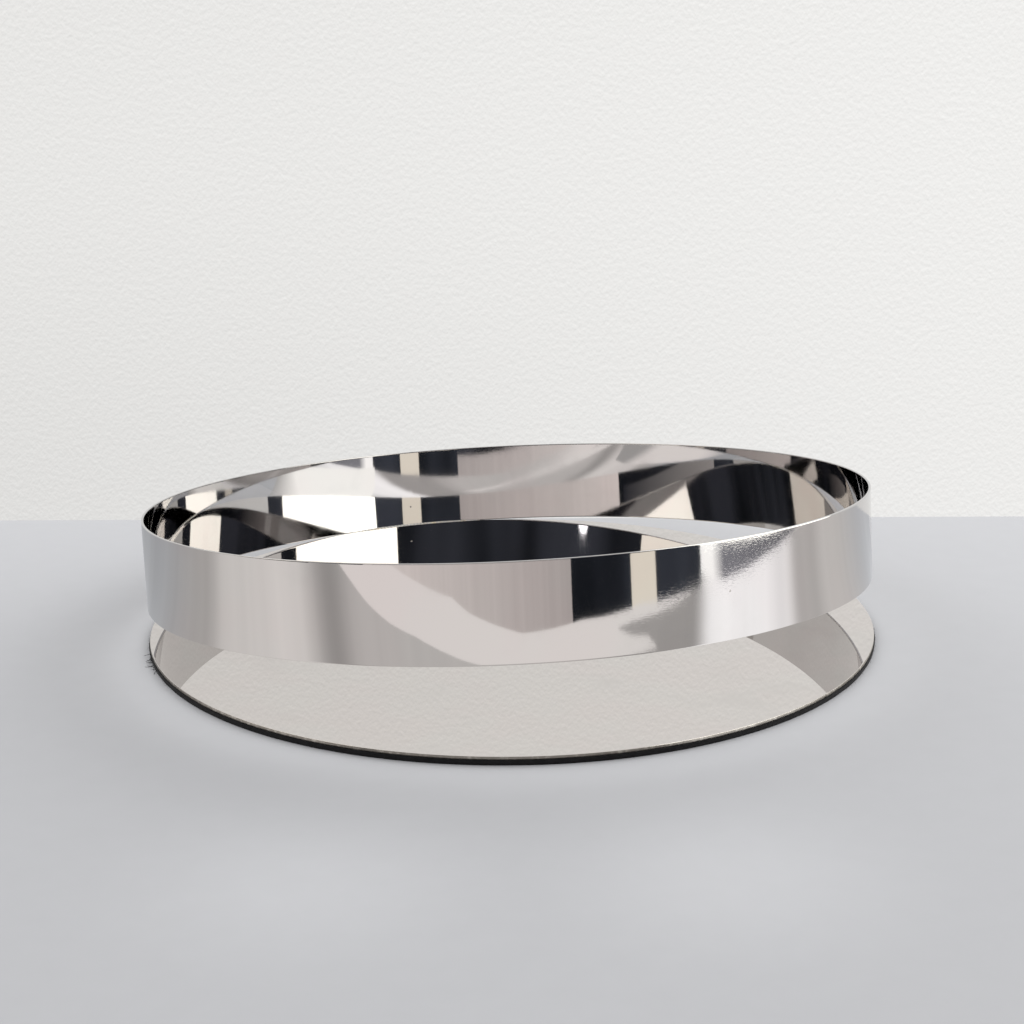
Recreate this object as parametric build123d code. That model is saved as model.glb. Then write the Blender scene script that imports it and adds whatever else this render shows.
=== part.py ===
"""Candle plate: a polished steel disc on black felt, with a leaning polished steel band welded to its rear edge.

Millimetres, +Z up. The origin is the centre of the felt's underside, where the object rests on a table.
The band comes down to the plate at +Y and rises towards -Y, so the YZ plane mirrors the object onto itself.
"""

import math
import os

from build123d import *

# Base plate: a disc of polished stainless sheet
plate_diameter = 300.0
plate_thickness = 1.2
plate_edge_radius = 0.25

# Felt under the plate, held by a film of adhesive
felt_thickness = 1.9
felt_overhang = 0.4
adhesive_thickness = 0.1
adhesive_inset = 1.0

# Band: a strip of polished stainless sheet, rolled into a ring a little under the plate's size, which leans back
band_undersize = 0.6
band_height = 36.4
band_wall = 1.0
band_edge_radius = 0.25
band_tilt = 6.5
seam_width = 0.8

# Weld bead in the groove between the plate's rear edge and the band
weld_gap = 0.2
weld_leg = 0.4
weld_length = 66.0

# Levels, from the table up
adhesive_bottom = felt_thickness
plate_bottom = adhesive_bottom + adhesive_thickness
plate_top = plate_bottom + plate_thickness

# Radii
plate_radius = plate_diameter / 2
band_outer = (plate_diameter - band_undersize) / 2
band_inner = band_outer - band_wall
band_middle = band_outer - band_wall / 2

# The band hugs the plate's rear edge from outside: its inner wall stands off by the weld gap, and its lowest corner
# reaches a little over half way down that edge
tilt = math.radians(band_tilt)
band_drop = 0.6 * plate_thickness
band_centre_y = plate_radius + weld_gap - band_inner * math.cos(tilt)
band_centre_z = plate_top - band_drop + band_outer * math.sin(tilt)
band_place = Location((0, band_centre_y, band_centre_z), (-band_tilt, 0, 0))

# Arc of the seam about the band's axis and of the bead about the plate's, both centred on +Y
seam_angle = math.degrees(seam_width / band_middle)
weld_angle = math.degrees(weld_length / plate_radius)
rear_angle = 90.0


def disc(radius, bottom, thickness):
    """A plain disc about Z, standing on the level given."""
    on_its_base = (Align.CENTER, Align.CENTER, Align.MIN)
    return Pos(0, 0, bottom) * Cylinder(radius, thickness, align=on_its_base)


def swept_about_band(section, start_angle, arc):
    """A section drawn in the XZ plane, turned about the band's axis and then leant back with it."""
    turned = Rot(0, 0, start_angle) * revolve(section, Axis.Z, revolution_arc=arc)
    return band_place * turned


def band_section():
    """The strip's cross-section, with its edges polished round."""
    round_edge = min(band_edge_radius, 0.45 * band_wall)
    strip = RectangleRounded(band_wall, band_height, round_edge)
    return Plane.XZ * Pos(band_middle, band_height / 2) * strip


def make_felt_pad():
    return disc(plate_radius + felt_overhang, 0, felt_thickness)


def make_felt_adhesive():
    return disc(plate_radius - adhesive_inset, adhesive_bottom, adhesive_thickness)


def make_base_plate():
    """The plate, with its upper edge polished round."""
    plate = disc(plate_radius, plate_bottom, plate_thickness)
    upper_edge = plate.edges().sort_by(Axis.Z)[-1]
    return fillet(upper_edge, min(plate_edge_radius, 0.45 * plate_thickness))


def make_ring_band():
    """The rolled strip, open by the width of its seam at the rear."""
    return swept_about_band(band_section(), rear_angle + seam_angle / 2, 360 - seam_angle)


def make_band_seam_weld():
    """The weld metal between the strip's two ends, ground flush with it."""
    return swept_about_band(band_section(), rear_angle - seam_angle / 2, seam_angle)


def make_rear_weld(beside):
    """The bead: it fills the groove, and its sloping face runs from the plate's top up to the band's inner wall."""
    inside_wall = plate_radius + weld_gap + band_wall / 2
    depth = band_drop / 3
    outline = Polyline(
        (plate_radius - weld_leg, plate_top),
        (inside_wall, plate_top + weld_leg + weld_gap + band_wall / 2),
        (inside_wall, plate_top - depth),
        (plate_radius - weld_leg, plate_top - depth),
        close=True,
    )
    section = Plane.XZ * make_face(outline)
    bead = Rot(0, 0, rear_angle - weld_angle / 2) * revolve(section, Axis.Z, revolution_arc=weld_angle)
    for piece in beside:
        bead = bead - piece
    return bead


pieces = {
    "felt_pad": make_felt_pad(),
    "felt_adhesive": make_felt_adhesive(),
    "base_plate": make_base_plate(),
    "ring_band": make_ring_band(),
    "band_seam_weld": make_band_seam_weld(),
}
steel = [pieces[node] for node in ("base_plate", "ring_band", "band_seam_weld")]
pieces["rear_weld"] = make_rear_weld(steel)

os.makedirs("parts", exist_ok=True)
for node, shape in pieces.items():
    export_step(shape, f"parts/{node}.step")
    print(node, "volume", round(shape.volume, 2))
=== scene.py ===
# %% [markdown]
# # A candle plate in mirror-polished steel
# The object is a round steel plate on black felt. A steel band of the same width leans back over it: it
# hugs the plate's rear edge and stands clear of the front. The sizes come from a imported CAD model, which
# is loaded first and never moved. This lesson gives each solid its real surface, in metres, in the same
# frame as the CAD: +Z is up, the origin is under the middle of the felt, and the band meets the plate at
# +Y.

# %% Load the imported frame
import math
import random

import bmesh
import bpy
from mathutils import Matrix, Vector, noise


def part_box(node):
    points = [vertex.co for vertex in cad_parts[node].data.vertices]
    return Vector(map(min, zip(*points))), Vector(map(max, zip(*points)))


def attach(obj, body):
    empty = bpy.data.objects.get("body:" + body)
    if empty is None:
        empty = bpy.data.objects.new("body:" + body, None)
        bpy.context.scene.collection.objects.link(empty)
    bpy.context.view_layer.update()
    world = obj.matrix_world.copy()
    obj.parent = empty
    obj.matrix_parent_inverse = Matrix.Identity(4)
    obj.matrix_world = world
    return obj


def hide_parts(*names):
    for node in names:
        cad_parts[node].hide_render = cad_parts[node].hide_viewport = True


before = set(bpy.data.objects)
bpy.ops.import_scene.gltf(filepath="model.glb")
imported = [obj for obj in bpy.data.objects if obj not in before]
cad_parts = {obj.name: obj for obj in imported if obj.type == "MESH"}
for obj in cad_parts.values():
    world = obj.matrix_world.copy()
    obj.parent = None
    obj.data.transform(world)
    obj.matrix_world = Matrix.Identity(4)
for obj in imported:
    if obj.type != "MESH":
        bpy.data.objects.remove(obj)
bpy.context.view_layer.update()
scene = bpy.context.scene
scene.view_settings.view_transform = "Standard"
MM = 0.001
print("CAD nodes:", ", ".join(sorted(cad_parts)))

# %% [markdown]
# ## Sizes
# Polished sheet shows every step in its shape, so the pieces that mirror the room are built again here with
# far more segments than a CAD mesh has. They need the maker's own sizes: how high the strip is, how thick,
# and how far the ring leans. The levels are read from the CAD boxes.

# %% Sizes of plate, band and felt
plate_low, plate_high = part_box("base_plate")
plate_radius = plate_high.x
plate_top = plate_high.z
plate_bottom = plate_low.z
felt_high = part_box("felt_pad")[1]
felt_radius = felt_high.x
felt_top = felt_high.z
band_height = 36.4 * MM
band_wall = 1.0 * MM
band_undersize = 0.3 * MM
band_radius = plate_radius - band_undersize
band_inner = band_radius - band_wall
band_tilt = math.radians(6.5)
band_drop = 0.72 * MM
edge_round = 0.25 * MM
seam_width = 0.8 * MM
weld_gap = 0.2 * MM
weld_length = 66 * MM

band_centre_y = plate_radius + weld_gap - band_inner * math.cos(band_tilt)
band_centre_z = plate_top - band_drop + band_radius * math.sin(band_tilt)
band_place = Matrix.Translation((0, band_centre_y, band_centre_z)) @ Matrix.Rotation(-band_tilt, 4, "X")

# %% [markdown]
# ## Shader maths as Python
# A finish is a small sum: lines plus smudges, times a depth. Wiring each plus and times by hand hides
# that sum, so one small class wraps a socket and lets Python's operators add the Math nodes. Every other
# node comes from its `node` method, which sets the node's own settings first and then fills its sockets
# with values or links.

# %% The Wire class
class Wire:
    """An output socket in a node tree. Arithmetic on it adds Math nodes."""

    def __init__(self, tree, socket=None):
        self.tree = tree
        self.socket = socket

    def node(self, kind, settings=None, values=None, output=0):
        """Adds a node, applies its settings, fills its sockets, and gives back one of its outputs."""
        made = self.tree.nodes.new(kind)
        for name, value in (settings or {}).items():
            setattr(made, name, value)
        for name, value in (values or {}).items():
            self.fill(self.pick(made.inputs, name), value)
        if not len(made.outputs):
            return self
        return Wire(self.tree, self.pick(made.outputs, output))

    def pick(self, sockets, name):
        """A socket by its number, its identifier or its shown name."""
        if isinstance(name, int):
            return sockets[name]
        for socket in sockets:
            if socket.identifier == name:
                return socket
        return sockets[name]

    def fill(self, socket, value):
        """Links a wire to a socket, or sets the socket's own value."""
        if isinstance(value, Wire):
            self.tree.links.new(value.socket, socket)
        else:
            socket.default_value = value

    def maths(self, operation, first, second):
        return self.node("ShaderNodeMath", {"operation": operation}, {0: first, 1: second})

    def __add__(self, other):
        return self.maths("ADD", self, other)

    def __sub__(self, other):
        return self.maths("SUBTRACT", self, other)

    def __mul__(self, other):
        return self.maths("MULTIPLY", self, other)

    def __rsub__(self, other):
        return self.maths("SUBTRACT", other, self)

    __radd__ = __add__
    __rmul__ = __mul__

    def stretch(self, scale):
        """A vector with each of its axes scaled."""
        return self.node("ShaderNodeVectorMath", {"operation": "MULTIPLY"}, {0: self, 1: scale})

    def scaled(self, amount):
        """A vector or colour made longer or brighter by one amount."""
        return self.node("ShaderNodeVectorMath", {"operation": "SCALE"}, {0: self, "Scale": amount})

    def dot(self, way):
        """How far this vector reaches along another one."""
        return self.node("ShaderNodeVectorMath", {"operation": "DOT_PRODUCT"}, {0: self, 1: way}, "Value")

    def grain(self, scale, detail=2.0, roughness=0.5):
        """Soft noise over this vector, from 0 to 1."""
        values = {"Vector": self, "Scale": scale, "Detail": detail, "Roughness": roughness}
        return self.node("ShaderNodeTexNoise", values=values)

    def ramp(self, low, high):
        """0 below low, 1 above high and smooth between them."""
        values = {"Value": self, "From Min": low, "From Max": high}
        return self.node("ShaderNodeMapRange", {"interpolation_type": "SMOOTHSTEP"}, values)

    def steps(self, stops):
        """A value that runs smoothly from stop to stop, each of which is a place and its value."""
        total = stops[0][1]
        for (low, before), (high, after) in zip(stops, stops[1:]):
            total = self.ramp(low, high) * (after - before) + total
        return total

    def between(self, first, second):
        """A colour: first where this value is 0, second where it is 1."""
        values = {"Factor_Float": self, "A_Color": first, "B_Color": second}
        return self.node("ShaderNodeMix", {"data_type": "RGBA"}, values, "Result_Color")


def new_finish(name):
    """An empty material, and the wire that its nodes are added with."""
    finish = bpy.data.materials.new(name)
    finish.use_nodes = True
    finish.node_tree.nodes.clear()
    return finish, Wire(finish.node_tree)


def close_finish(wire, shader):
    """Sends a shader to the material's output."""
    wire.node("ShaderNodeOutputMaterial", values={"Surface": shader})


print("wire class ready")

# %% [markdown]
# ## Polished steel
# Stainless sheet that has been buffed to a mirror is not quite perfect. The buffing wheel runs along the
# strip and leaves hair-fine lines and sparse short scratches, the rolled sheet keeps a faint orange peel,
# and handling leaves smudges and the odd speck of polish. Lines, scratches and peel go to a Bump node, a
# few micrometres deep, and the smudges to the roughness. The lines follow the surface because every
# polished piece has a map in metres: along the strip, and across it. They are coarser on one side, where
# the wheel was pressed harder, and there the band is also a touch hazy. A faint warm blush, under two
# hundredths of the colour, breaks up the large plain areas. The band's inside was polished flat, before
# the strip was rolled, so its lines are finer than those outside.

# %% Polished steel finish
PLATE_STEEL = (0.718, 0.688, 0.662)
BAND_STEEL = (0.61, 0.60, 0.595)
BLUSH = (1.004, 0.988, 0.991)
SPECK = (0.34, 0.33, 0.32, 1.0)
STRIP_LINES = (220.0, 1200.0, 1.0)
STRIP_POLISH = 0.028
SHEET_LINES = (60.0, 700.0, 1.0)
SHEET_POLISH = 0.010
PRESSED_SIDE = (-0.035, 0.05)
PEEL_SCALE = 170.0
SMUDGE_SCALE = 22.0
SPECK_SCALE = 57.0
BLUSH_SCALE = 30.0


def polished_steel(name, steel, line_depth, peel_depth, line_scale, polish, haze=0.0):
    finish, wire = new_finish(name)
    along = wire.node("ShaderNodeTexCoord", output="UV")
    solid = wire.node("ShaderNodeTexCoord", output="Object")
    coarser = wire.node("ShaderNodeSeparateXYZ", values={0: solid}).ramp(*PRESSED_SIDE)
    lines = along.stretch(line_scale).grain(1.0, 3.0, 0.6)
    scratches = along.stretch(line_scale).grain(3.2, 1.0, 0.5).ramp(0.50, 0.75) * coarser
    peel = solid.grain(PEEL_SCALE, 1.0, 0.4)
    height = (lines * (0.08 + coarser * 0.92) + scratches * 0.36) * line_depth + peel * peel_depth
    normal = wire.node("ShaderNodeBump", values={"Strength": 1.0, "Distance": 1.0, "Height": height})
    smudge = solid.grain(SMUDGE_SCALE, 4.0, 0.62).ramp(0.50, 0.72)
    speck_cell = {"Vector": solid, "Scale": SPECK_SCALE, "Randomness": 1.0}
    speck = wire.node("ShaderNodeTexVoronoi", {"feature": "F1"}, speck_cell, "Distance")
    rare = solid.grain(41.0, 0.0).ramp(0.66, 0.68)
    specks = (1 - speck.ramp(0.022, 0.034)) * rare
    blush = solid.grain(BLUSH_SCALE, 2.0, 0.5).ramp(0.40, 0.62)
    pinker = [part * share for part, share in zip(steel, BLUSH)]
    tone = blush.between((*steel, 1.0), (*pinker, 1.0)).scaled(1 - smudge * 0.045)
    colour = specks.between(tone, SPECK)
    roughness = polish + smudge * 0.03 + specks * 0.4 + coarser * haze
    values = {"Base Color": colour, "Metallic": 1.0, "Roughness": roughness, "Normal": normal}
    close_finish(wire, wire.node("ShaderNodeBsdfPrincipled", values=values))
    return finish


band_steel = polished_steel(
    "polished_band_steel",
    BAND_STEEL,
    line_depth=3.0e-6,
    peel_depth=1.2e-6,
    line_scale=STRIP_LINES,
    polish=STRIP_POLISH,
    haze=0.016,
)
inside_steel = polished_steel(
    "polished_inside_steel",
    BAND_STEEL,
    line_depth=5.0e-7,
    peel_depth=1.0e-6,
    line_scale=STRIP_LINES,
    polish=STRIP_POLISH,
)
plate_steel = polished_steel(
    "polished_plate_steel",
    PLATE_STEEL,
    line_depth=1.0e-7,
    peel_depth=4.0e-7,
    line_scale=SHEET_LINES,
    polish=SHEET_POLISH,
)
print("steel finishes:", band_steel.name, inside_steel.name, plate_steel.name)

# %% [markdown]
# ## Weld metal and cut edges
# A weld bead that has only been brushed clean is greyer and rougher than the sheet beside it, and keeps a
# straw tint from the heat. The plate's rim was cut and deburred but never buffed, so it is a dull, darker
# grey than its faces. Noise mixes the two colours of each and sets the roughness, so both read as metal
# and not as paint.

# %% Weld and cut edge finishes
WELD_GREY = (0.56, 0.55, 0.54, 1.0)
WELD_STRAW = (0.62, 0.53, 0.40, 1.0)
EDGE_DARK = (0.28, 0.265, 0.245, 1.0)
EDGE_PALE = (0.50, 0.48, 0.45, 1.0)
WELD_LINES = (300.0, 3000.0, 3000.0)
EDGE_LINES = (900.0, 900.0, 3000.0)


def brushed_metal(name, first, second, line_scale, roughness):
    finish, wire = new_finish(name)
    solid = wire.node("ShaderNodeTexCoord", output="Object")
    tint = solid.grain(420.0, 3.0).ramp(0.45, 0.75)
    scratches = solid.stretch(line_scale).grain(1.0, 2.0)
    normal = wire.node("ShaderNodeBump", values={"Strength": 0.6, "Distance": 2.0e-5, "Height": scratches})
    values = {
        "Base Color": tint.between(first, second),
        "Metallic": 1.0,
        "Roughness": roughness + scratches * 0.16,
        "Normal": normal,
    }
    close_finish(wire, wire.node("ShaderNodeBsdfPrincipled", values=values))
    return finish


weld_metal = brushed_metal("brushed_weld_metal", WELD_GREY, WELD_STRAW, WELD_LINES, roughness=0.24)
cut_edge = brushed_metal("cut_edge_steel", EDGE_DARK, EDGE_PALE, EDGE_LINES, roughness=0.42)
print("weld finish:", weld_metal.name, "and edge finish:", cut_edge.name)

# %% [markdown]
# ## Felt and its adhesive
# The underlay is pressed black felt, a mat of short fibres with no weave. Stretched noise at two angles
# gives the mat its fibre direction, a rougher noise its pills, and a little sheen the pale bloom that
# felt has against the light. Black felt also holds every crumb of lint, so a few tiny pale specks sit in
# it. The film of adhesive above it is a plain milky layer with a slight mottle.

# %% Felt and adhesive finishes
FELT_DARK = (0.006, 0.006, 0.007, 1.0)
FELT_PALE = (0.017, 0.016, 0.017, 1.0)
FELT_LINT = (0.38, 0.37, 0.36, 1.0)
FIBRE_LINES = (2600.0, 700.0, 2600.0)
CROSSED_LINES = (800.0, 2400.0, 2400.0)
PILL_SCALE = 260.0
LINT_SCALE = 190.0
ADHESIVE_DARK = (0.74, 0.71, 0.61, 1.0)
ADHESIVE_PALE = (0.80, 0.78, 0.70, 1.0)


def black_felt():
    finish, wire = new_finish("black_felt")
    solid = wire.node("ShaderNodeTexCoord", output="Object")
    fibres = solid.stretch(FIBRE_LINES).grain(1.0, 3.0, 0.7)
    crossed = solid.stretch(CROSSED_LINES).grain(1.0, 3.0, 0.7)
    pills = solid.grain(PILL_SCALE, 2.0)
    mat = fibres * 0.4 + crossed * 0.4 + pills * 0.2
    normal = wire.node("ShaderNodeBump", values={"Strength": 0.9, "Distance": 2.5e-4, "Height": mat})
    crumb_cell = {"Vector": solid, "Scale": LINT_SCALE}
    crumb = wire.node("ShaderNodeTexVoronoi", {"feature": "F1"}, crumb_cell, "Distance")
    lint = (1 - crumb.ramp(0.05, 0.10)) * solid.grain(130.0, 0.0).ramp(0.60, 0.62)
    black = mat.ramp(0.38, 0.62).between(FELT_DARK, FELT_PALE)
    values = {
        "Base Color": lint.between(black, FELT_LINT),
        "Roughness": 0.86 + pills * 0.12,
        "Normal": normal,
        "Sheen Weight": 0.08,
        "Sheen Roughness": 0.5,
        "Specular IOR Level": 0.15,
    }
    close_finish(wire, wire.node("ShaderNodeBsdfPrincipled", values=values))
    return finish


def milky_adhesive():
    finish, wire = new_finish("milky_adhesive")
    solid = wire.node("ShaderNodeTexCoord", output="Object")
    mottle = solid.grain(90.0, 3.0)
    values = {
        "Base Color": mottle.between(ADHESIVE_DARK, ADHESIVE_PALE),
        "Roughness": 0.42 + mottle * 0.2,
    }
    close_finish(wire, wire.node("ShaderNodeBsdfPrincipled", values=values))
    return finish


felt_finish = black_felt()
adhesive_finish = milky_adhesive()
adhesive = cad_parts["felt_adhesive"]
adhesive.data.materials.clear()
adhesive.data.materials.append(adhesive_finish)
print("felt finish on", felt_finish.name, "and film on", adhesive.name)

# %% [markdown]
# ## Turning a section into a piece
# The band, its seam, the plate and the felt are all turned shapes: one section carried round an axis. A
# Screw modifier would do that, but here each point also gets a map in metres for the polish lines and may
# be moved a little off true, so one function lays out the grid of points and joins it with faces. A
# closed sweep joins its end to its start; an open one gets a cap at each end.

# %% The turned-piece helper
ring_steps = 720
corner_parts = 5


def turned(name, section, start, arc, steps, place, finish, offset=None, other=None, takes_other=None):
    """Carries a closed section of (radius, height) points round the Z axis and then puts it in its place.

    Where takes_other says so of a face's two radii, the face gets the other finish.
    """
    closed = arc > 2 * math.pi - 1e-9
    work = bmesh.new()
    map_layer = work.loops.layers.uv.new("metres")
    rows = []
    count = steps if closed else steps + 1
    for step in range(count):
        angle = start + arc * step / steps
        row = []
        for radius, height in section:
            point = Vector((radius * math.cos(angle), radius * math.sin(angle), height))
            if offset:
                point = point + offset(angle, radius, height)
            row.append(work.verts.new(place @ point))
        rows.append(row)
    around = len(section)
    for step in range(steps):
        here = rows[step]
        there = rows[(step + 1) % count]
        for index in range(around):
            after = (index + 1) % around
            face = work.faces.new((here[index], there[index], there[after], here[after]))
            face.smooth = True
            if other and takes_other(section[index][0], section[after][0]):
                face.material_index = 1
            corners = ((step, index), (step + 1, index), (step + 1, after), (step, after))
            for loop, (at, which) in zip(face.loops, corners):
                radius, height = section[which]
                loop[map_layer].uv = (arc * at / steps * band_radius, height + radius)
    if not closed:
        for face in (work.faces.new(rows[0]), work.faces.new(rows[-1][::-1])):
            for edge in face.edges:
                edge.smooth = False
    bmesh.ops.recalc_face_normals(work, faces=work.faces)
    mesh = bpy.data.meshes.new(name)
    work.to_mesh(mesh)
    work.free()
    mesh.materials.append(finish)
    if other:
        mesh.materials.append(other)
    piece = bpy.data.objects.new(name, mesh)
    scene.collection.objects.link(piece)
    print(name, len(mesh.vertices), "points")
    return piece


def strip_section(inner, outer, bottom, top, round_by, rows):
    """A tall section with rounded corners, in order round its outline, with rows up both walls."""
    corners = ((outer, top, 0), (inner, top, 90), (inner, bottom, 180), (outer, bottom, 270))
    points = []
    for radius, height, turn in corners:
        towards = (math.cos(math.radians(turn + 45)), math.sin(math.radians(turn + 45)))
        centre_r = radius - math.copysign(round_by, towards[0])
        centre_z = height - math.copysign(round_by, towards[1])
        for part in range(corner_parts + 1):
            angle = math.radians(turn + 90 * part / corner_parts)
            points.append((centre_r + round_by * math.cos(angle), centre_z + round_by * math.sin(angle)))
        if turn in (90, 270):
            low_to_high = turn == 270
            wall = [bottom + (top - bottom) * k / rows for k in range(1, rows)]
            hold = [bottom + 2 * round_by] + wall + [top - 2 * round_by]
            for level in hold if low_to_high else hold[::-1]:
                points.append((radius, level))
    return points


print("turning helper ready")

# %% [markdown]
# ## The band
# The band is one strip, rolled into a ring and leant back by a few degrees. Rolling never gives a perfect
# circle: the wall wanders by a few hundredths of a millimetre, which is invisible as a shape but bends
# the reflections. A smooth noise in step with the angle moves both walls together by that much. The strip
# is open by the width of its seam.

# %% Band and seam
band_section = strip_section(band_inner, band_radius, 0, band_height, edge_round, rows=10)
seam_arc = seam_width / (band_radius - band_wall / 2)
rear = math.pi / 2
wander = 0.02 * MM
wander_waves = 2.2
wander_rise = 30 * MM


def rolled(angle, radius, height):
    """How far the rolled wall wanders from its circle at this place."""
    out = Vector((math.cos(angle), math.sin(angle), 0))
    slow = noise.noise(out * wander_waves + Vector((0, 0, height / wander_rise)))
    return out * (wander * slow)


def on_inner_wall(first, second):
    """Whether a face between these two radii is on the inside of the strip."""
    return max(first, second) < band_radius - band_wall / 2


def band_piece(name, start, arc, steps):
    finishes = (band_steel, rolled, inside_steel, on_inner_wall)
    return turned(name, band_section, start, arc, steps, band_place, *finishes)


band = band_piece("ring_band_polished", rear + seam_arc / 2, 2 * math.pi - seam_arc, ring_steps)
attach(band, "root")
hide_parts("ring_band")

seam = band_piece("band_seam_ground", rear - seam_arc / 2, seam_arc, steps=3)
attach(seam, "root")
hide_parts("band_seam_weld")

# %% [markdown]
# ## The plate
# The plate is a disc cut from sheet, flat on both faces, with its upper edge rounded by the polishing
# wheel. The rest of the rim was left dull, so its faces take the finish of a cut edge. The section is a
# thin bar from the axis to the rim. The first points sit a hair from the axis, and the hole they leave is
# closed with one small face on each side.

# %% Plate
hub_radius = 1.0 * MM
rim_depth = 0.1 * MM
rim_parts = 6


def disc_section(radius, bottom, top, round_by, rings):
    """Half a disc's section: up the rim, round its upper corner, in over the top and back below."""
    points = [(radius, bottom), (radius, (bottom + top) / 2), (radius, top - 2 * round_by)]
    for part in range(rim_parts + 1):
        angle = math.radians(90 * part / rim_parts)
        out = radius - round_by + round_by * math.cos(angle)
        points.append((out, top - round_by + round_by * math.sin(angle)))
    flat = [radius - 2 * round_by] + [radius * (rings - k) / rings for k in range(1, rings)] + [hub_radius]
    points += [(r, top) for r in flat]
    points += [(r, bottom) for r in flat[::-1]]
    return points


def close_hub(piece, top, bottom):
    """Closes the small hole at the axis of a turned disc and drops the wall that lines it."""
    work = bmesh.new()
    work.from_mesh(piece.data)
    near = [v for v in work.verts if v.co.xy.length < 1.5 * hub_radius]
    lining = [f for f in work.faces if all(v in near for v in f.verts)]
    bmesh.ops.delete(work, geom=lining, context="FACES_ONLY")
    rims = [e for e in work.edges if e.is_boundary]
    middle = (top + bottom) / 2
    bmesh.ops.contextual_create(work, geom=[e for e in rims if e.verts[0].co.z > middle])
    bmesh.ops.contextual_create(work, geom=[e for e in rims if e.verts[0].co.z < middle])
    bmesh.ops.recalc_face_normals(work, faces=work.faces)
    work.to_mesh(piece.data)
    work.free()


def on_rim(first, second):
    """Whether a face between these two radii is on the plate's cut rim, below its rounded edge."""
    return min(first, second) > plate_radius - rim_depth


in_place = Matrix.Identity(4)
plate_section = disc_section(plate_radius, plate_bottom, plate_top, edge_round, rings=12)
plate_finishes = (plate_steel, None, cut_edge, on_rim)
plate = turned("base_plate_polished", plate_section, 0, 2 * math.pi, ring_steps, in_place, *plate_finishes)
close_hub(plate, plate_top, plate_bottom)
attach(plate, "root")
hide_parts("base_plate")

# %% [markdown]
# ## The rear weld
# Where the band hugs the plate's rear edge, a short bead fills the groove between them. A hand-held torch
# lays it down drop by drop, so it has ripples a couple of millimetres apart and thins out at both ends.
# The section is the small wedge between the plate's top and the band's inner wall, and the ripples move
# its free face in and out.

# %% Weld bead
weld_arc = weld_length / band_radius
weld_foot = 0.45 * MM
weld_climb = 0.45 * MM
weld_depth = 0.24 * MM
weld_crown = 0.06 * MM
weld_steps = 330
ripple_pitch = 1.7 * MM
ripple_depth = 0.16
least_swell = 0.08


def wall_point(angle, level):
    """The place on the band's inner wall at this angle and this height over the table."""
    low = Vector((band_inner * math.cos(angle), band_inner * math.sin(angle), 0))
    rise = (level - (band_place @ low).z) / math.cos(band_tilt)
    return band_place @ (low + Vector((0, 0, rise)))


def bead_section(angle):
    """The wedge between plate and band at this angle, as points in the world."""
    share = abs(angle - rear) / (weld_arc / 2)
    fade = math.sqrt(max(0.0, 1 - share ** 4))
    ripple = 1 + ripple_depth * math.sin(2 * math.pi * angle * band_radius / ripple_pitch)
    swell = max(least_swell, fade * ripple)
    groove = wall_point(angle, plate_top - weld_depth)
    climb = wall_point(angle, plate_top + weld_climb * swell)
    out = Vector((groove.x, groove.y, 0)).normalized()
    foot = out * (plate_radius - weld_foot * swell) + Vector((0, 0, plate_top))
    middle = (climb + foot) / 2 + (Vector((0, 0, 1)) - out) * (weld_crown * swell)
    edge = out * plate_radius + Vector((0, 0, plate_top - weld_depth))
    return [groove, climb, middle, foot, edge]


def weld_bead(name, steps):
    work = bmesh.new()
    rows = []
    for step in range(steps + 1):
        angle = rear - weld_arc / 2 + weld_arc * step / steps
        rows.append([work.verts.new(point) for point in bead_section(angle)])
    for here, there in zip(rows, rows[1:]):
        for index in range(len(here)):
            after = (index + 1) % len(here)
            face = work.faces.new((here[index], there[index], there[after], here[after]))
            face.smooth = index in (1, 2)
    work.faces.new(rows[0])
    work.faces.new(rows[-1][::-1])
    bmesh.ops.recalc_face_normals(work, faces=work.faces)
    mesh = bpy.data.meshes.new(name)
    work.to_mesh(mesh)
    work.free()
    mesh.materials.append(weld_metal)
    piece = bpy.data.objects.new(name, mesh)
    scene.collection.objects.link(piece)
    return piece


weld = weld_bead("rear_weld_bead", weld_steps)
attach(weld, "root")
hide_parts("rear_weld")
groove_width = wall_point(rear, plate_top).y - plate_radius
print("groove %.2f mm wide, bead %.0f mm long" % (groove_width / MM, weld_length / MM))

# %% [markdown]
# ## The felt
# Felt is cut with a punch or a blade, and its edge is never clean: it bulges a little between the plate and
# the table and wanders in and out. The disc is turned like the plate, with rows of points up its rim, and
# noise at two sizes moves the rim. It is a sheet of cloth.

# %% Felt disc
felt_inset = 0.12 * MM
felt_bulge = 0.1 * MM
loose_rim = 2 * MM
wave_count = 26
tuft_count = 210


def felt_outline(rings, rows):
    """The felt's section: up its bulging rim, in over the top and back below."""
    levels = [felt_top * k / rows for k in range(rows + 1)]
    rim = [(felt_radius - felt_inset + felt_bulge * math.sin(math.pi * z / felt_top), z) for z in levels]
    flat = [felt_radius * (rings - k) / rings for k in range(1, rings)] + [hub_radius]
    return rim + [(r, felt_top) for r in flat] + [(r, 0.0) for r in flat[::-1]]


def frayed(angle, radius, height):
    """How far the cut edge of the felt wanders at this place."""
    if radius < felt_radius - loose_rim:
        return Vector((0, 0, 0))
    out = Vector((math.cos(angle), math.sin(angle), 0))
    wave = noise.noise(out * wave_count + Vector((0, 0, height / MM)))
    tuft = noise.noise(out * tuft_count + Vector((0, 0, 1.6 * height / MM)))
    if 0 < height < felt_top:
        return out * ((0.10 * wave + 0.16 * tuft) * MM)
    return out * ((0.06 * wave - 0.05) * MM)


felt_section = felt_outline(rings=8, rows=6)
felt_steps = 2 * ring_steps
felt = turned("felt_pad_frayed", felt_section, 0, 2 * math.pi, felt_steps, in_place, felt_finish, frayed)
close_hub(felt, felt_top, 0)
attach(felt, "root")
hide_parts("felt_pad")

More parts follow.
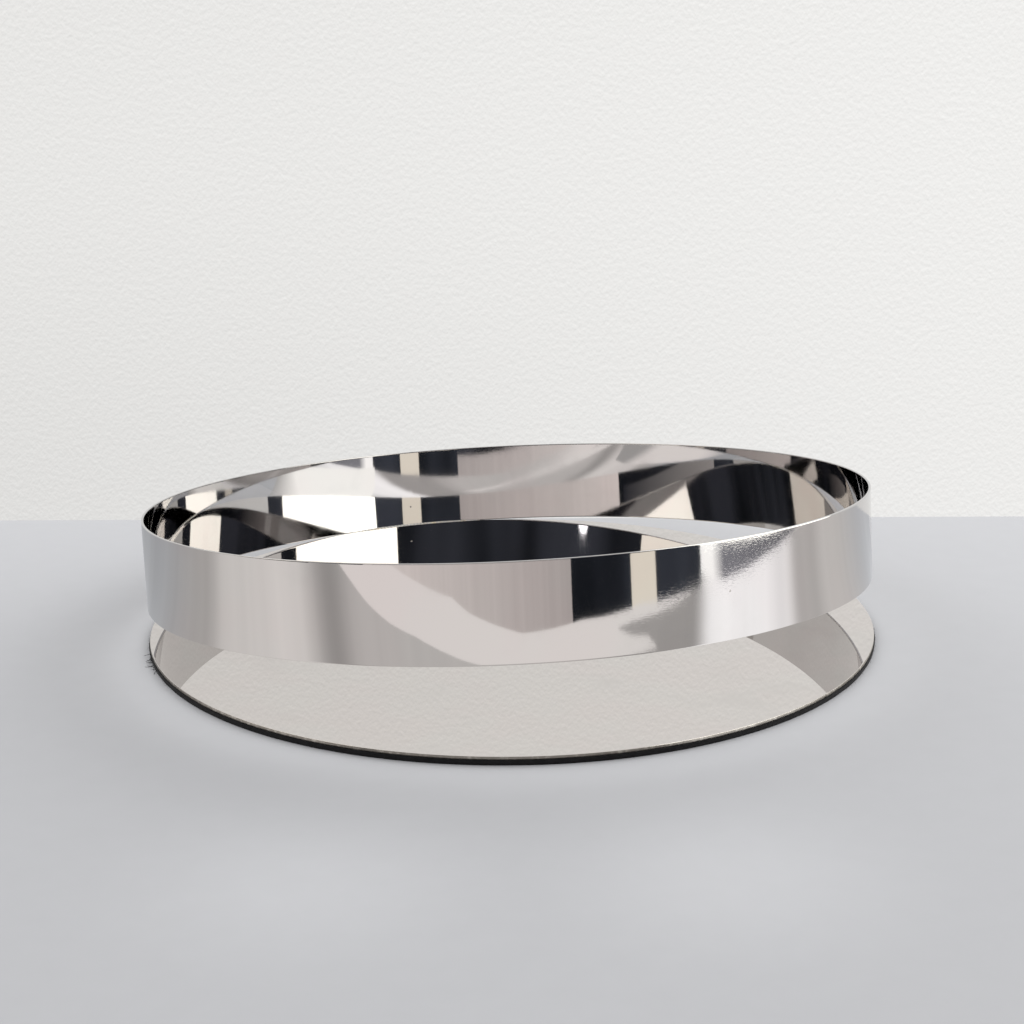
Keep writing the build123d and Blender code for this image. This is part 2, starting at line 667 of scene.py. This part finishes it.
# %% [markdown]
# ## Loose fibres
# Close to, the felt's edge is a fringe of fibres a few hundredths of a millimetre thick, most of them
# curled along the edge and a few pulled out. A hair system would not survive export, so each fibre is a
# thin three-sided tube bent along its own arc. A seeded generator places them, so the fringe is the same
# on every run. One tuft, at the left of the view, is longer and coarser than the rest.

# %% Felt fibres
draw = random.Random(11)
fibre_sides = 3
fibre_parts = 5
fringe_count = 3000
left_tuft = math.radians(179.5)
left_tuft_count = 11
fibre_root = 0.3 * MM
above_table = 0.02 * MM


def fibre(work, start, heading, length, thickness, curl):
    """One fibre: a tapering tube of three sides that curls as it goes and stays above the table."""
    place = start.copy()
    rows = []
    for part in range(fibre_parts + 1):
        share = part / fibre_parts
        side = heading.cross(Vector((0, 0, 1))).normalized()
        lift = side.cross(heading).normalized()
        size = thickness / 2 * (1 - 0.55 * share)
        ring = []
        for turn in range(fibre_sides):
            angle = 2 * math.pi * turn / fibre_sides
            spot = place + (side * math.cos(angle) + lift * math.sin(angle)) * size
            spot.z = max(spot.z, above_table)
            ring.append(work.verts.new(spot))
        rows.append(ring)
        heading = (heading + curl / fibre_parts).normalized()
        place = place + heading * (length / fibre_parts)
        place.z = max(place.z, size + 2 * above_table)
    for here, there in zip(rows, rows[1:]):
        for turn in range(fibre_sides):
            after = (turn + 1) % fibre_sides
            work.faces.new((here[turn], there[turn], there[after], here[after]))
    work.faces.new(rows[0][::-1])
    work.faces.new(rows[-1])


def edge_fibre(work, angle, length, thickness, outward):
    """A fibre that starts in the felt's rim and leans along or away from it."""
    out = Vector((math.cos(angle), math.sin(angle), 0))
    along = Vector((-math.sin(angle), math.cos(angle), 0)) * draw.choice((-1, 1))
    start = out * (felt_radius - fibre_root)
    start.z = draw.uniform(0.25, 0.9) * felt_top
    heading = along * (1 - outward) + out * (outward + 0.15)
    heading.z = draw.uniform(-0.25, 0.1)
    curl = out * draw.uniform(-0.9, 0.5) + along * draw.uniform(-0.6, 0.6)
    curl.z = draw.uniform(-0.8, 0.2)
    fibre(work, start, heading.normalized(), length, thickness, curl)


def felt_fibres(name):
    work = bmesh.new()
    for count in range(fringe_count):
        angle = draw.uniform(0, 2 * math.pi)
        length = draw.uniform(0.6, 1.8) * MM
        edge_fibre(work, angle, length, draw.uniform(0.04, 0.08) * MM, draw.random() ** 2 * 0.6)
    for count in range(left_tuft_count):
        angle = left_tuft + math.radians(draw.gauss(0, 1.6))
        length = draw.uniform(2.0, 4.8) * MM
        edge_fibre(work, angle, length, draw.uniform(0.24, 0.34) * MM, draw.uniform(0.15, 0.9))
    mesh = bpy.data.meshes.new(name)
    work.to_mesh(mesh)
    work.free()
    mesh.materials.append(felt_finish)
    piece = bpy.data.objects.new(name, mesh)
    scene.collection.objects.link(piece)
    print(name, len(mesh.polygons), "faces")
    return piece


fringe = felt_fibres("felt_edge_fibres")
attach(fringe, "root")

# %% [markdown]
# ## Table and backdrop
# The object stands on a plain pale grey table, close to a white backdrop. The table is matt, so that no
# panel or lamp shows in it from any side. Paint is never quite even, so noise mottles it by a fiftieth.
# Mirrors see the table as far as its front edge, and the apron beyond it carries the floor on for the
# camera. The backdrop is an upright sheet with a fine plaster grain, whose relief is painted shading, as if
# lit from above. It also carries painted light and shade: it is lighter to the right, as the light falls
# from that side, and darker towards its foot, where it meets the table, most of all on the left. Its white,
# with that painted light and shade, is its own glow, both for the camera and for the steel, and it adds no
# light. It can only be seen from the front, so a camera behind the object looks straight through it.

# %% Table and backdrop
TABLE_GREY = (0.517, 0.521, 0.534)
BACKDROP_SHADED_LEFT = (0.800, 0.794, 0.779, 1.0)
BACKDROP_LIT_RIGHT = (0.868, 0.862, 0.847, 1.0)
backdrop_facing = Vector((0.3381, 0.9411, 0.0))
backdrop_along = Vector((0.9411, -0.3381, 0.0))
backdrop_distance = 162.5 * MM
backdrop_reach = 4.0
backdrop_height = 2.5
plaster_scale = (490.0, 490.0, 440.0)
plaster_light_from_above = (0.0, 0.0, 0.34)
plaster_shading = 0.31
floor_reach = 20.0
table_front = [
    (-floor_reach, -0.30),
    (-0.54, -0.465),
    (-0.35, -0.548),
    (-0.28, -0.52),
    (-0.14, -0.512),
    (-0.06, -0.565),
    (0.0, -0.60),
    (0.17, -0.597),
    (0.31, -0.505),
    (floor_reach, -0.50),
]


def floor_finish():
    finish, wire = new_finish("matt_floor")
    mottle = wire.node("ShaderNodeTexCoord", output="Object").grain(90.0, 3.0, 0.55)
    darker, paler = ((*[share * part for part in TABLE_GREY], 1.0) for share in (0.98, 1.02))
    values = {"Base Color": mottle.between(darker, paler), "Roughness": 0.9, "Specular IOR Level": 0.0}
    close_finish(wire, wire.node("ShaderNodeBsdfPrincipled", values=values))
    return finish


def one_sided(wire, glow_colour, slant=None):
    """Lets the colour that a sheet glows with, painted light and shade included, show on its front alone,
    and only near the slant that is asked for.
    """
    glow = wire.node("ShaderNodeEmission", values={"Color": glow_colour, "Strength": 1.0})
    front = 1 - wire.node("ShaderNodeNewGeometry", output="Backfacing")
    if slant:
        facing = wire.node("ShaderNodeLayerWeight", values={"Blend": 0.5}, output="Facing")
        front = front * facing.ramp(*slant)
    clear = wire.node("ShaderNodeBsdfTransparent")
    close_finish(wire, wire.node("ShaderNodeMixShader", values={0: front, 1: clear, 2: glow}))


def backdrop_finish():
    finish, wire = new_finish("plaster_backdrop")
    solid = wire.node("ShaderNodeTexCoord", output="Object")
    pitted = solid.stretch(plaster_scale)
    # Painted shading: the plaster grain minus the same grain a step higher, so that its relief looks lit
    # from above.
    lifted = wire.node("ShaderNodeVectorMath", {"operation": "ADD"}, {0: pitted, 1: plaster_light_from_above})
    painted_relief = lifted.grain(1.0, 3.0, 0.6) - pitted.grain(1.0, 3.0, 0.6)
    # Painted light and shade: lighter to the right, as the light falls from that side, and darker towards
    # the foot where the backdrop meets the table, most on the left.
    height = wire.node("ShaderNodeSeparateXYZ", values={0: solid}, output=2)
    lit_rightwards = solid.dot(backdrop_along).ramp(-0.30, 0.30)
    shade = 1 - (1 - height.ramp(0.0, 0.20)) * (0.08 - lit_rightwards * 0.055) + painted_relief * plaster_shading
    one_sided(wire, lit_rightwards.between(BACKDROP_SHADED_LEFT, BACKDROP_LIT_RIGHT).scaled(shade))
    finish.cycles.emission_sampling = "NONE"
    return finish


def stage_piece(name, corners, finish, hidden_from=()):
    """A flat stage sheet, given by its corners in metres, and by which kinds of ray don't see it."""
    mesh = bpy.data.meshes.new(name)
    mesh.from_pydata(corners, [], [range(len(corners))])
    mesh.materials.append(finish)
    piece = bpy.data.objects.new(name, mesh)
    scene.collection.objects.link(piece)
    for sight in hidden_from:
        setattr(piece, "visible_" + sight, False)


matt = floor_finish()
front_edge = [(x, y, 0) for x, y in table_front]
far_corners = [(floor_reach, floor_reach, 0), (-floor_reach, floor_reach, 0)]
near_corners = [(floor_reach, -floor_reach, 0), (-floor_reach, -floor_reach, 0)]
stage_piece("floor_table", front_edge + far_corners, matt)
stage_piece("floor_apron", front_edge[::-1] + near_corners[::-1], matt, ["glossy"])

NO_LIGHT = ["diffuse", "shadow", "transmission", "volume_scatter"]
backdrop_foot = backdrop_facing * backdrop_distance
backdrop_low = [backdrop_foot + backdrop_along * reach for reach in (-backdrop_reach, backdrop_reach)]
backdrop_high = [corner + Vector((0, 0, backdrop_height)) for corner in backdrop_low[::-1]]
stage_piece("backdrop_wall", backdrop_low + backdrop_high, backdrop_finish(), NO_LIGHT)
print("table runs", 2 * floor_reach, "m each way, backdrop", backdrop_distance / MM, "mm behind the middle")

# %% [markdown]
# ## Panels for the steel to mirror
# Mirror-polished steel has no look of its own: it shows what stands round it. A studio sets up white
# panels for bright bands, black cloth for crisp edges and grey cloth for soft tones, and lays white
# sheets on the table. Each panel is a flat sheet, given by its corners in millimetres and by its tone at
# the two ends of a way across it, which is its first edge unless another is given. Panels are seen by
# mirrors alone, from their front, so they hide nothing and add no light. Satin paper pales or darkens at
# low angles, so a sheet may also fade with the slant at which it is seen.

# %% Panel helpers
def panel(name, corners, first, second=None, way=None, fold_shading=0.0, slant=None):
    """A flat sheet that only mirrors see, with its tone at both ends of a way and the faint painted shading
    of folds along it.
    """
    start, end = (Vector(place) * MM for place in way or corners[:2])
    scaled = (end - start) / (end - start).length_squared
    finish, wire = new_finish(name)
    share = wire.node("ShaderNodeTexCoord", output="Object").dot(scaled) - scaled.dot(start)
    ripple = wire.node("ShaderNodeCombineXYZ", values={0: share * 26.0}).grain(1.0, 3.0, 0.6) - 0.5
    tone = (share + ripple * fold_shading).between((*first, 1.0), (*(second or first), 1.0))
    one_sided(wire, tone, slant)
    finish.cycles.emission_sampling = "NONE"
    stage_piece(name, [Vector(corner) * MM for corner in corners], finish, NO_LIGHT + ["camera"])


def upright(start, end, bottom, top):
    """The corners of a sheet that stands between two places on the plan, with its front on the right."""
    return [(*start, bottom), (*end, bottom), (*end, top), (*start, top)]


def lying(places, level):
    """The corners of a sheet that lies at a level over the table, in the order that turns its front up."""
    pairs = zip(places, places[1:] + places[:1])
    turn = sum(a[0] * b[1] - a[1] * b[0] for a, b in pairs)
    return [(x, y, level) for x, y in (places if turn > 0 else places[::-1])]


print("panel helpers ready")

# %% [markdown]
# ## Standing panels
# On the right stands the key panel, whose near edge leans out and comes down to the table on a white foot,
# which darkens into painted shade at its rear end. On the left stands the fill panel, high over a dark
# foot. Grey cloth hangs far in front, its faint folds painted as light and shade, beside a narrow cream
# panel. A slit in the cloth lets a dark line into the mirrors. A small round lamp shines from the front
# left.

# %% Standing panels
KEY_WHITE = (2.9, 2.85, 2.64)
KEY_FOOT_WHITE = (1.5, 1.48, 1.45)
FILL_WHITE = (1.6, 1.52, 1.38)
FILL_FOOT_BLACK = (0.03, 0.032, 0.04)
FILL_FOOT_GREY = (0.43, 0.41, 0.40)
LEFT_GREY = (0.54, 0.52, 0.50)
NARROW_CREAM = (1.09, 1.005, 0.865)
LAMP_WHITE = (6.0, 6.0, 6.3)
# Painted shade: the tone of the table in the key panel's shade, used on the dark sheet beyond the key foot
# and at the foot's rear end.
PAINTED_SHADE_DARK = (0.30, 0.30, 0.33)
CLOTH_NEAR = (0.58, 0.527, 0.508)
CLOTH_FAR = (1.0, 0.915, 0.88)
panel_top = 900
key_bottom = 23
fill_bottom = 150

key_low = [(389, -79, key_bottom), (356, -532, key_bottom)]
key_high = [(338, -780, panel_top), (389, -79, panel_top)]
panel("panel_key", key_low + key_high, KEY_WHITE)
# The key foot darkens into painted shade at its rear end, next to the shaded table under the key panel.
key_foot = upright((363, -428), (356, -532), 0, key_bottom)
key_foot_way = [(362, -432, 0), (359, -478, 0)]
panel("panel_key_foot", key_foot, PAINTED_SHADE_DARK, KEY_FOOT_WHITE, key_foot_way)

panel("panel_fill", upright((-402, -100), (-400, 190), fill_bottom, panel_top), FILL_WHITE)
fill_foot = upright((-340, -145), (-400, 120), 34, fill_bottom)
panel("panel_fill_foot", fill_foot, FILL_FOOT_BLACK, FILL_FOOT_GREY)
panel("panel_left", upright((-400, 190), (-402, 316), 0, panel_top), LEFT_GREY)

cloth_slit = [(-20, -1450, 25), (-1400, -937, 25), (-1400, -937, -2), (-20, -1450, -2)]
cloth_corners = upright((-20, -1450), (-1500, -900), -600, 280) + cloth_slit
# The grey cloth's faint folds are painted light and shade.
panel("panel_grey", cloth_corners, CLOTH_NEAR, CLOTH_FAR, fold_shading=0.45)
panel("panel_narrow", upright((310, -775), (208, -795), -120, 70), NARROW_CREAM)

lamp_middle = Vector((-809, -746, 632))
lamp_sides = 10
lamp_along = Vector((-0.7, 0.71, 0)) * 36
lamp_rise = Vector((0, 0, 13))
lamp_turns = [math.radians(360 / lamp_sides * k) for k in range(lamp_sides)]
lamp_rim = [lamp_middle + lamp_along * math.cos(a) + lamp_rise * math.sin(a) for a in lamp_turns]
panel("panel_lamp", lamp_rim, LAMP_WHITE)

# %% [markdown]
# ## Sheets on the table
# A white sheet lies in front, with a notch cut into its right side. Beyond the foot of the key panel lies a
# dark one, which is painted shade: the table as it lies in that panel's shade. Round the object, a paper
# surround takes its tone and tint from the compass angle about a point near the object's front, as painted
# light and shade: it lies in the light of the key panel, in the light of the fill panel or in the shade
# between them. The steel's curve turns such a fan into soft upright bands, and faint streaks keep them from
# looking airbrushed. Three more sheets carry the table's painted sheen and show only at a low slant, at
# which a satin table turns into a mirror. They are painted reflections of the key panel on the right and of
# the fill panel and its dark foot on the left, and a painted pale glint in front, the light that the band
# throws there.

# %% Sheets on the table
fan_middle = (-35, -100)
# The surround's tones and tints by compass angle are painted light and shade of the table round the object.
fan_right = [(70, 0.62), (90, 0.78), (97, 0.64), (102, 0.66), (108, 1.15), (116, 1.36), (133, 1.40)]
fan_front = [(141, 0.49), (158, 0.50), (172, 0.71), (244, 0.70), (254, 0.45)]
fan_left = [(267, 0.96), (290, 0.87), (299, 0.56), (330, 0.47)]
fan_stops = fan_right + fan_front + fan_left
fan_cool = [(66, 1), (86, 0), (100, 0), (110, 0.45), (134, 0.45), (142, 0), (298, 0), (322, 1)]
WARM_TINT = (1.0, 0.957, 0.928, 1.0)
COOL_TINT = (1.0, 1.02, 1.06, 1.0)
paper_level = 0.5
sheet_level = 0.8
satin_level = 1.1
glint_level = 1.4


def fan_sheet(name, places):
    """A lying sheet whose tone depends on the compass angle about the fan's middle."""
    finish, wire = new_finish(name)
    solid = wire.node("ShaderNodeTexCoord", output="Object")
    east = wire.node("ShaderNodeSeparateXYZ", values={0: solid}) - fan_middle[0] * MM
    north = wire.node("ShaderNodeSeparateXYZ", values={0: solid}, output=1) - fan_middle[1] * MM
    turn = wire.maths("ARCTAN2", 0 - east, 0 - north) + math.pi
    streaks = wire.node("ShaderNodeCombineXYZ", values={0: turn * 10.0}).grain(1.0, 2.0, 0.5) - 0.5
    tone = turn.steps([(math.radians(angle), light) for angle, light in fan_stops])
    coolness = turn.steps([(math.radians(angle), share) for angle, share in fan_cool])
    tint = coolness.between(WARM_TINT, COOL_TINT)
    one_sided(wire, tint.scaled(tone * (1 + streaks * 0.2)))
    finish.cycles.emission_sampling = "NONE"
    corners = [Vector(corner) * MM for corner in lying(places, paper_level)]
    stage_piece(name, corners, finish, NO_LIGHT + ["camera"])


table_edge = [(x / MM, y / MM) for x, y in table_front[1:-1]]
around_places = [fan_middle, (-159, 280), (-700, 268), (-700, -420), *table_edge, (700, -505), (700, 330)]
fan_sheet("sheet_surround", around_places)
# A dark sheet of painted shade: the table beyond the key panel, lying in that panel's shade.
shade_near = [(362, -430), (440, -325), (500, -215), (600, -250)]
shade_far = [(640, -420), (640, -660), (520, -660), (360, -503)]
shade_way = [(400, -450, 0), (520, -230, 0)]
panel("sheet_painted_shade", lying(shade_near + shade_far, sheet_level), PAINTED_SHADE_DARK, (0.16, 0.16, 0.18), shade_way)

rear_edge = [(100, -478), (128, -450), (122, -392), (0, -390), (-195, -342), (-282, -328), (-331, -306)]
rear_edge += [(-390, -293), (-477, -284), (-560, -270)]
notch = [(290, -503), (240, -503), (180, -518), (125, -532), (80, -526)]
front_way = [(-470, -400, 0), (40, -500, 0)]
front_places = lying(table_edge + notch + rear_edge, sheet_level)
front_tones = (1.05, 0.98, 0.955), (1.065, 1.02, 0.99)
panel("sheet_front", front_places, *front_tones, front_way, slant=(0.960, 0.945))

# The next three sheets are the table's painted sheen: reflections of the key panel and of the fill panel
# and its foot, and a painted glint of the light that the band throws.
key_places = [(150, 55), (300, -30), (388, -80), (352, -540), (193, -240), (130, -110)]
key_way = [(226, 12, 0), (205, -25, 0)]
key_tones = (0.60, 0.585, 0.57), (1.43, 1.41, 1.36)
panel("sheet_key_sheen", lying(key_places, satin_level), *key_tones, key_way, slant=(0.865, 0.905))
fill_places = [(-380, -150), (-380, 60), (-230, 160), (-130, 120)]
fill_places += [(-150, 70), (-185, 0), (-215, -60), (-255, -110)]
fill_way = [(-265, -63, 0), (-244, -23, 0)]
fill_tones = (0.48, 0.47, 0.46), (1.03, 0.98, 0.95)
panel("sheet_fill_sheen", lying(fill_places, satin_level), *fill_tones, fill_way, slant=(0.83, 0.86))
glint_far = [(-390, -190), (-330, -235), (-250, -262), (-190, -268), (-130, -262), (-73, -245), (-26, -215)]
glint_near = [(10, -245), (-73, -280), (-130, -315), (-193, -345), (-265, -360), (-330, -340), (-400, -260)]
glint_places = lying(glint_far + glint_near, glint_level)
glint_tones = (1.08, 1.03, 1.0), (0.92, 0.87, 0.85)
panel("sheet_glint", glint_places, *glint_tones, front_way, slant=(0.90, 0.93))

# %% [markdown]
# ## Light
# The light is plain and soft: an even pale world, and three wide lamps. The one on the right is by far
# the strongest, the one at the rear lifts the table behind the object, and the one on the left only
# softens the shadows. The world shows white to the camera, evenly pale to matt surfaces, and to mirrors a
# dark room with a pale ceiling, which only a view from above brings into the steel. The lamps themselves
# are hidden from mirrors, because the panels stand for them there. Polished steel throws light back: two
# faint round pools in front are light from the side panels that the band turns down to the table, which a
# path tracer would find only slowly.

# %% World and lamps
ROOM_DARK = (0.012, 0.014, 0.018, 1.0)
ROOM_LIT = (0.058, 0.064, 0.082, 1.0)
CEILING = (0.70, 0.69, 0.68, 1.0)
EVEN_PALE = (0.735, 0.733, 0.74, 1.0)
SEEN_WHITE = (0.83, 0.825, 0.812, 1.0)
pool_height = 0.6
pool_spread = math.radians(11)
pool_softness = 0.03


def set_world():
    world = bpy.data.worlds.new("studio_world")
    world.use_nodes = True
    world.node_tree.nodes.clear()
    wire = Wire(world.node_tree)
    direction = wire.node("ShaderNodeTexCoord", output="Generated")
    height = wire.node("ShaderNodeSeparateXYZ", values={0: direction}, output=2)
    ceiling = height.ramp(0.52, 0.80)
    # Painted light and shade: the folds of the room's dark cloth, lit and shaded.
    fold_shading = direction.grain(3.0, 2.0, 0.5).ramp(0.35, 0.70)
    cloth = fold_shading.between(ROOM_DARK, ROOM_LIT)
    room = ceiling.between(cloth, CEILING)
    to_camera = wire.node("ShaderNodeLightPath", output="Is Camera Ray")
    to_mirror = wire.node("ShaderNodeLightPath", output="Is Glossy Ray")
    even = to_mirror.between(EVEN_PALE, room)
    seen = to_camera.between(even, SEEN_WHITE)
    background = wire.node("ShaderNodeBackground", values={"Color": seen, "Strength": 1.0})
    wire.node("ShaderNodeOutputWorld", values={"Surface": background})
    scene.world = world


def soft_lamp(name, place, aim, width, power):
    """A square lamp that points from its place to its aim, hidden from mirrors."""
    lamp = bpy.data.lights.new(name, "AREA")
    lamp.shape = "SQUARE"
    lamp.size = width
    lamp.energy = power
    holder = bpy.data.objects.new(name, lamp)
    holder.location = place
    holder.rotation_euler = (Vector(aim) - Vector(place)).to_track_quat("-Z", "Y").to_euler()
    holder.visible_glossy = False
    scene.collection.objects.link(holder)


def light_pool(name, x, y, power):
    """A faint soft pool of light on the table."""
    lamp = bpy.data.lights.new(name, "SPOT")
    lamp.spot_size = pool_spread
    lamp.spot_blend = 1.0
    lamp.shadow_soft_size = pool_softness
    lamp.energy = power
    holder = bpy.data.objects.new(name, lamp)
    holder.location = (x, y, pool_height)
    holder.visible_glossy = False
    scene.collection.objects.link(holder)


set_world()
soft_lamp("lamp_rear", (-0.2, 0.85, 0.7), (-0.15, 0.25, 0), width=1.2, power=5.4)
soft_lamp("lamp_right", (1.1, 0.3, 0.7), (0.05, 0.1, 0), width=1.4, power=12.0)
soft_lamp("lamp_left", (-1.2, 0.15, 0.8), (0, 0, 0.03), width=1.2, power=0.6)
light_pool("pool_left", -0.134, -0.205, power=1.7)
light_pool("pool_right", -0.011, -0.245, power=1.8)

# %% [markdown]
# ## Camera
# The viewpoint was worked out from the rims of plate and band: to the left of the object's middle plane,
# some 0.8 m away and looking down by about sixteen degrees through a short telephoto lens. The camera's
# three axes follow from its heading, its dip and a slight roll.

# %% Camera
view_heading = math.radians(18.415)
view_dip = math.radians(15.724)
view_roll = math.radians(0.593)
view_place = (-0.24518, -0.73802, 0.26806)

ahead = Vector((
    math.sin(view_heading) * math.cos(view_dip),
    math.cos(view_heading) * math.cos(view_dip),
    -math.sin(view_dip),
))
level_right = ahead.cross(Vector((0, 0, 1))).normalized()
level_up = level_right.cross(ahead)
right = level_right * math.cos(view_roll) - level_up * math.sin(view_roll)
up = right.cross(ahead)
axes = Matrix((right, up, -ahead)).transposed()

lens = bpy.data.cameras.new("view_camera")
lens.lens = 68.535
lens.sensor_width = 36.0
camera = bpy.data.objects.new("view_camera", lens)
camera.matrix_world = Matrix.Translation(view_place) @ axes.to_4x4()
scene.collection.objects.link(camera)
scene.camera = camera
print("camera looks along", [round(x, 4) for x in ahead], "with right", [round(x, 4) for x in right])
